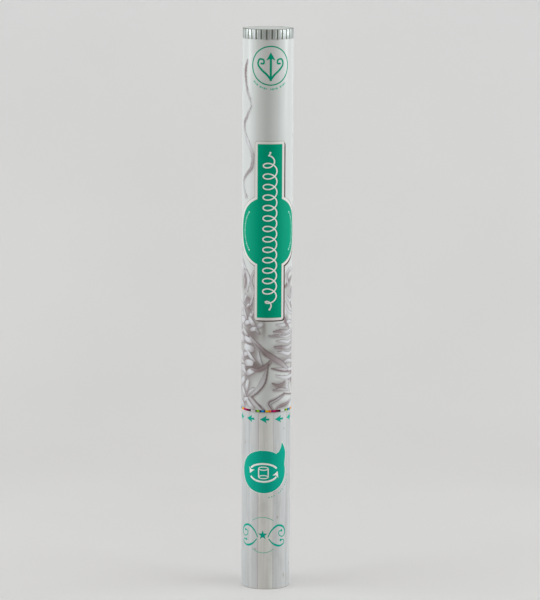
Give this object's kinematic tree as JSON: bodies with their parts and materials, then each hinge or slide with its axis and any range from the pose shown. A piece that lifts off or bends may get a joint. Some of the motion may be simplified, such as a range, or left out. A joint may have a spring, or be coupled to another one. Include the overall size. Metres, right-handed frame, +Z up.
{
  "type": "twist-to-fire streamer cannon",
  "caption": "Hand-held compressed-air streamer cannon: a long printed barrel that twists on a short grip tube to open the air valve and blow out the ribbed cap and rolled streamers.",
  "frame": {"origin": "centre of the grip's foot, on the surface that the cannon stands on", "axes": "+Z up the tube to the muzzle, the printed front faces -Y"},
  "size_m": [0.054, 0.054, 0.6],
  "materials": {
    "barrel_print": "silver-white printed paper with a gloss laminate",
    "grip_print": "printed paper, whitewashed board pattern, satin laminate",
    "card": "grey-brown wound card",
    "silver_plastic": "silver metallic plastic, ribbed",
    "white_plastic": "moulded, satin",
    "aluminium": "drawn and brushed",
    "brass": "turned",
    "rubber": "black nitrile rubber",
    "steel": "zinc plated",
    "wad_board": "pressed paper pulp",
    "felt": "wool felt",
    "silver_foil": "metallised film, wound on itself"
  },
  "bodies": {
    "grip": {"grip_tube": "card", "grip_wrap": "grip_print", "base_plug": "white_plastic", "cylinder_cradle": "white_plastic", "air_cylinder": "aluminium", "fill_valve": "brass", "neck_collar": "white_plastic", "neck_gasket": "rubber", "valve_body": "white_plastic", "retainer_ring": "white_plastic"},
    "barrel": {"barrel_tube": "card", "barrel_wrap": "barrel_print", "joint_coupler": "white_plastic", "cam_sleeve": "white_plastic", "cam_screws": "steel", "diffuser_plate": "white_plastic"},
    "valve_stem": {"valve_stem": "brass", "stem_o_ring": "rubber", "cross_pin": "steel"},
    "payload": {"pusher_wad": "wad_board", "wad_seal": "felt", "streamer_roll_01": "silver_foil", "streamer_roll_02": "silver_foil", "streamer_roll_03": "silver_foil", "streamer_roll_04": "silver_foil", "streamer_roll_05": "silver_foil", "streamer_roll_06": "silver_foil", "streamer_roll_07": "silver_foil", "streamer_roll_08": "silver_foil", "streamer_roll_09": "silver_foil", "streamer_roll_10": "silver_foil", "streamer_roll_11": "silver_foil", "streamer_roll_12": "silver_foil", "streamer_roll_13": "silver_foil", "streamer_roll_14": "silver_foil", "streamer_roll_15": "silver_foil", "streamer_roll_16": "silver_foil", "streamer_roll_17": "silver_foil", "streamer_roll_18": "silver_foil", "streamer_roll_19": "silver_foil", "streamer_roll_20": "silver_foil", "top_wad": "card"},
    "muzzle_cap": {"muzzle_cap": "silver_plastic"}
  },
  "joints": [
    {"name": "barrel_twist", "type": "hinge", "parent": "grip", "child": "barrel", "pos_m": [0, 0, 0.193], "axis": [0, 0, 1], "range_deg": [0, 90]},
    {"name": "valve_lift", "type": "slide", "parent": "grip", "child": "valve_stem", "axis": [0, 0, 1], "range_m": [0, 0.0081]},
    {"name": "payload_slide", "type": "slide", "parent": "barrel", "child": "payload", "axis": [0, 0, 1], "range_m": [0, 0.4]},
    {"name": "cap_slide", "type": "slide", "parent": "barrel", "child": "muzzle_cap", "axis": [0, 0, 1], "range_m": [0, 0.401]}
  ],
  "couplings": [
    {"joint": "valve_lift", "follows": "barrel_twist", "m_per_rad": 0.005093},
    {"joint": "cap_slide", "follows": "payload_slide", "ratio": 1}
  ]
}
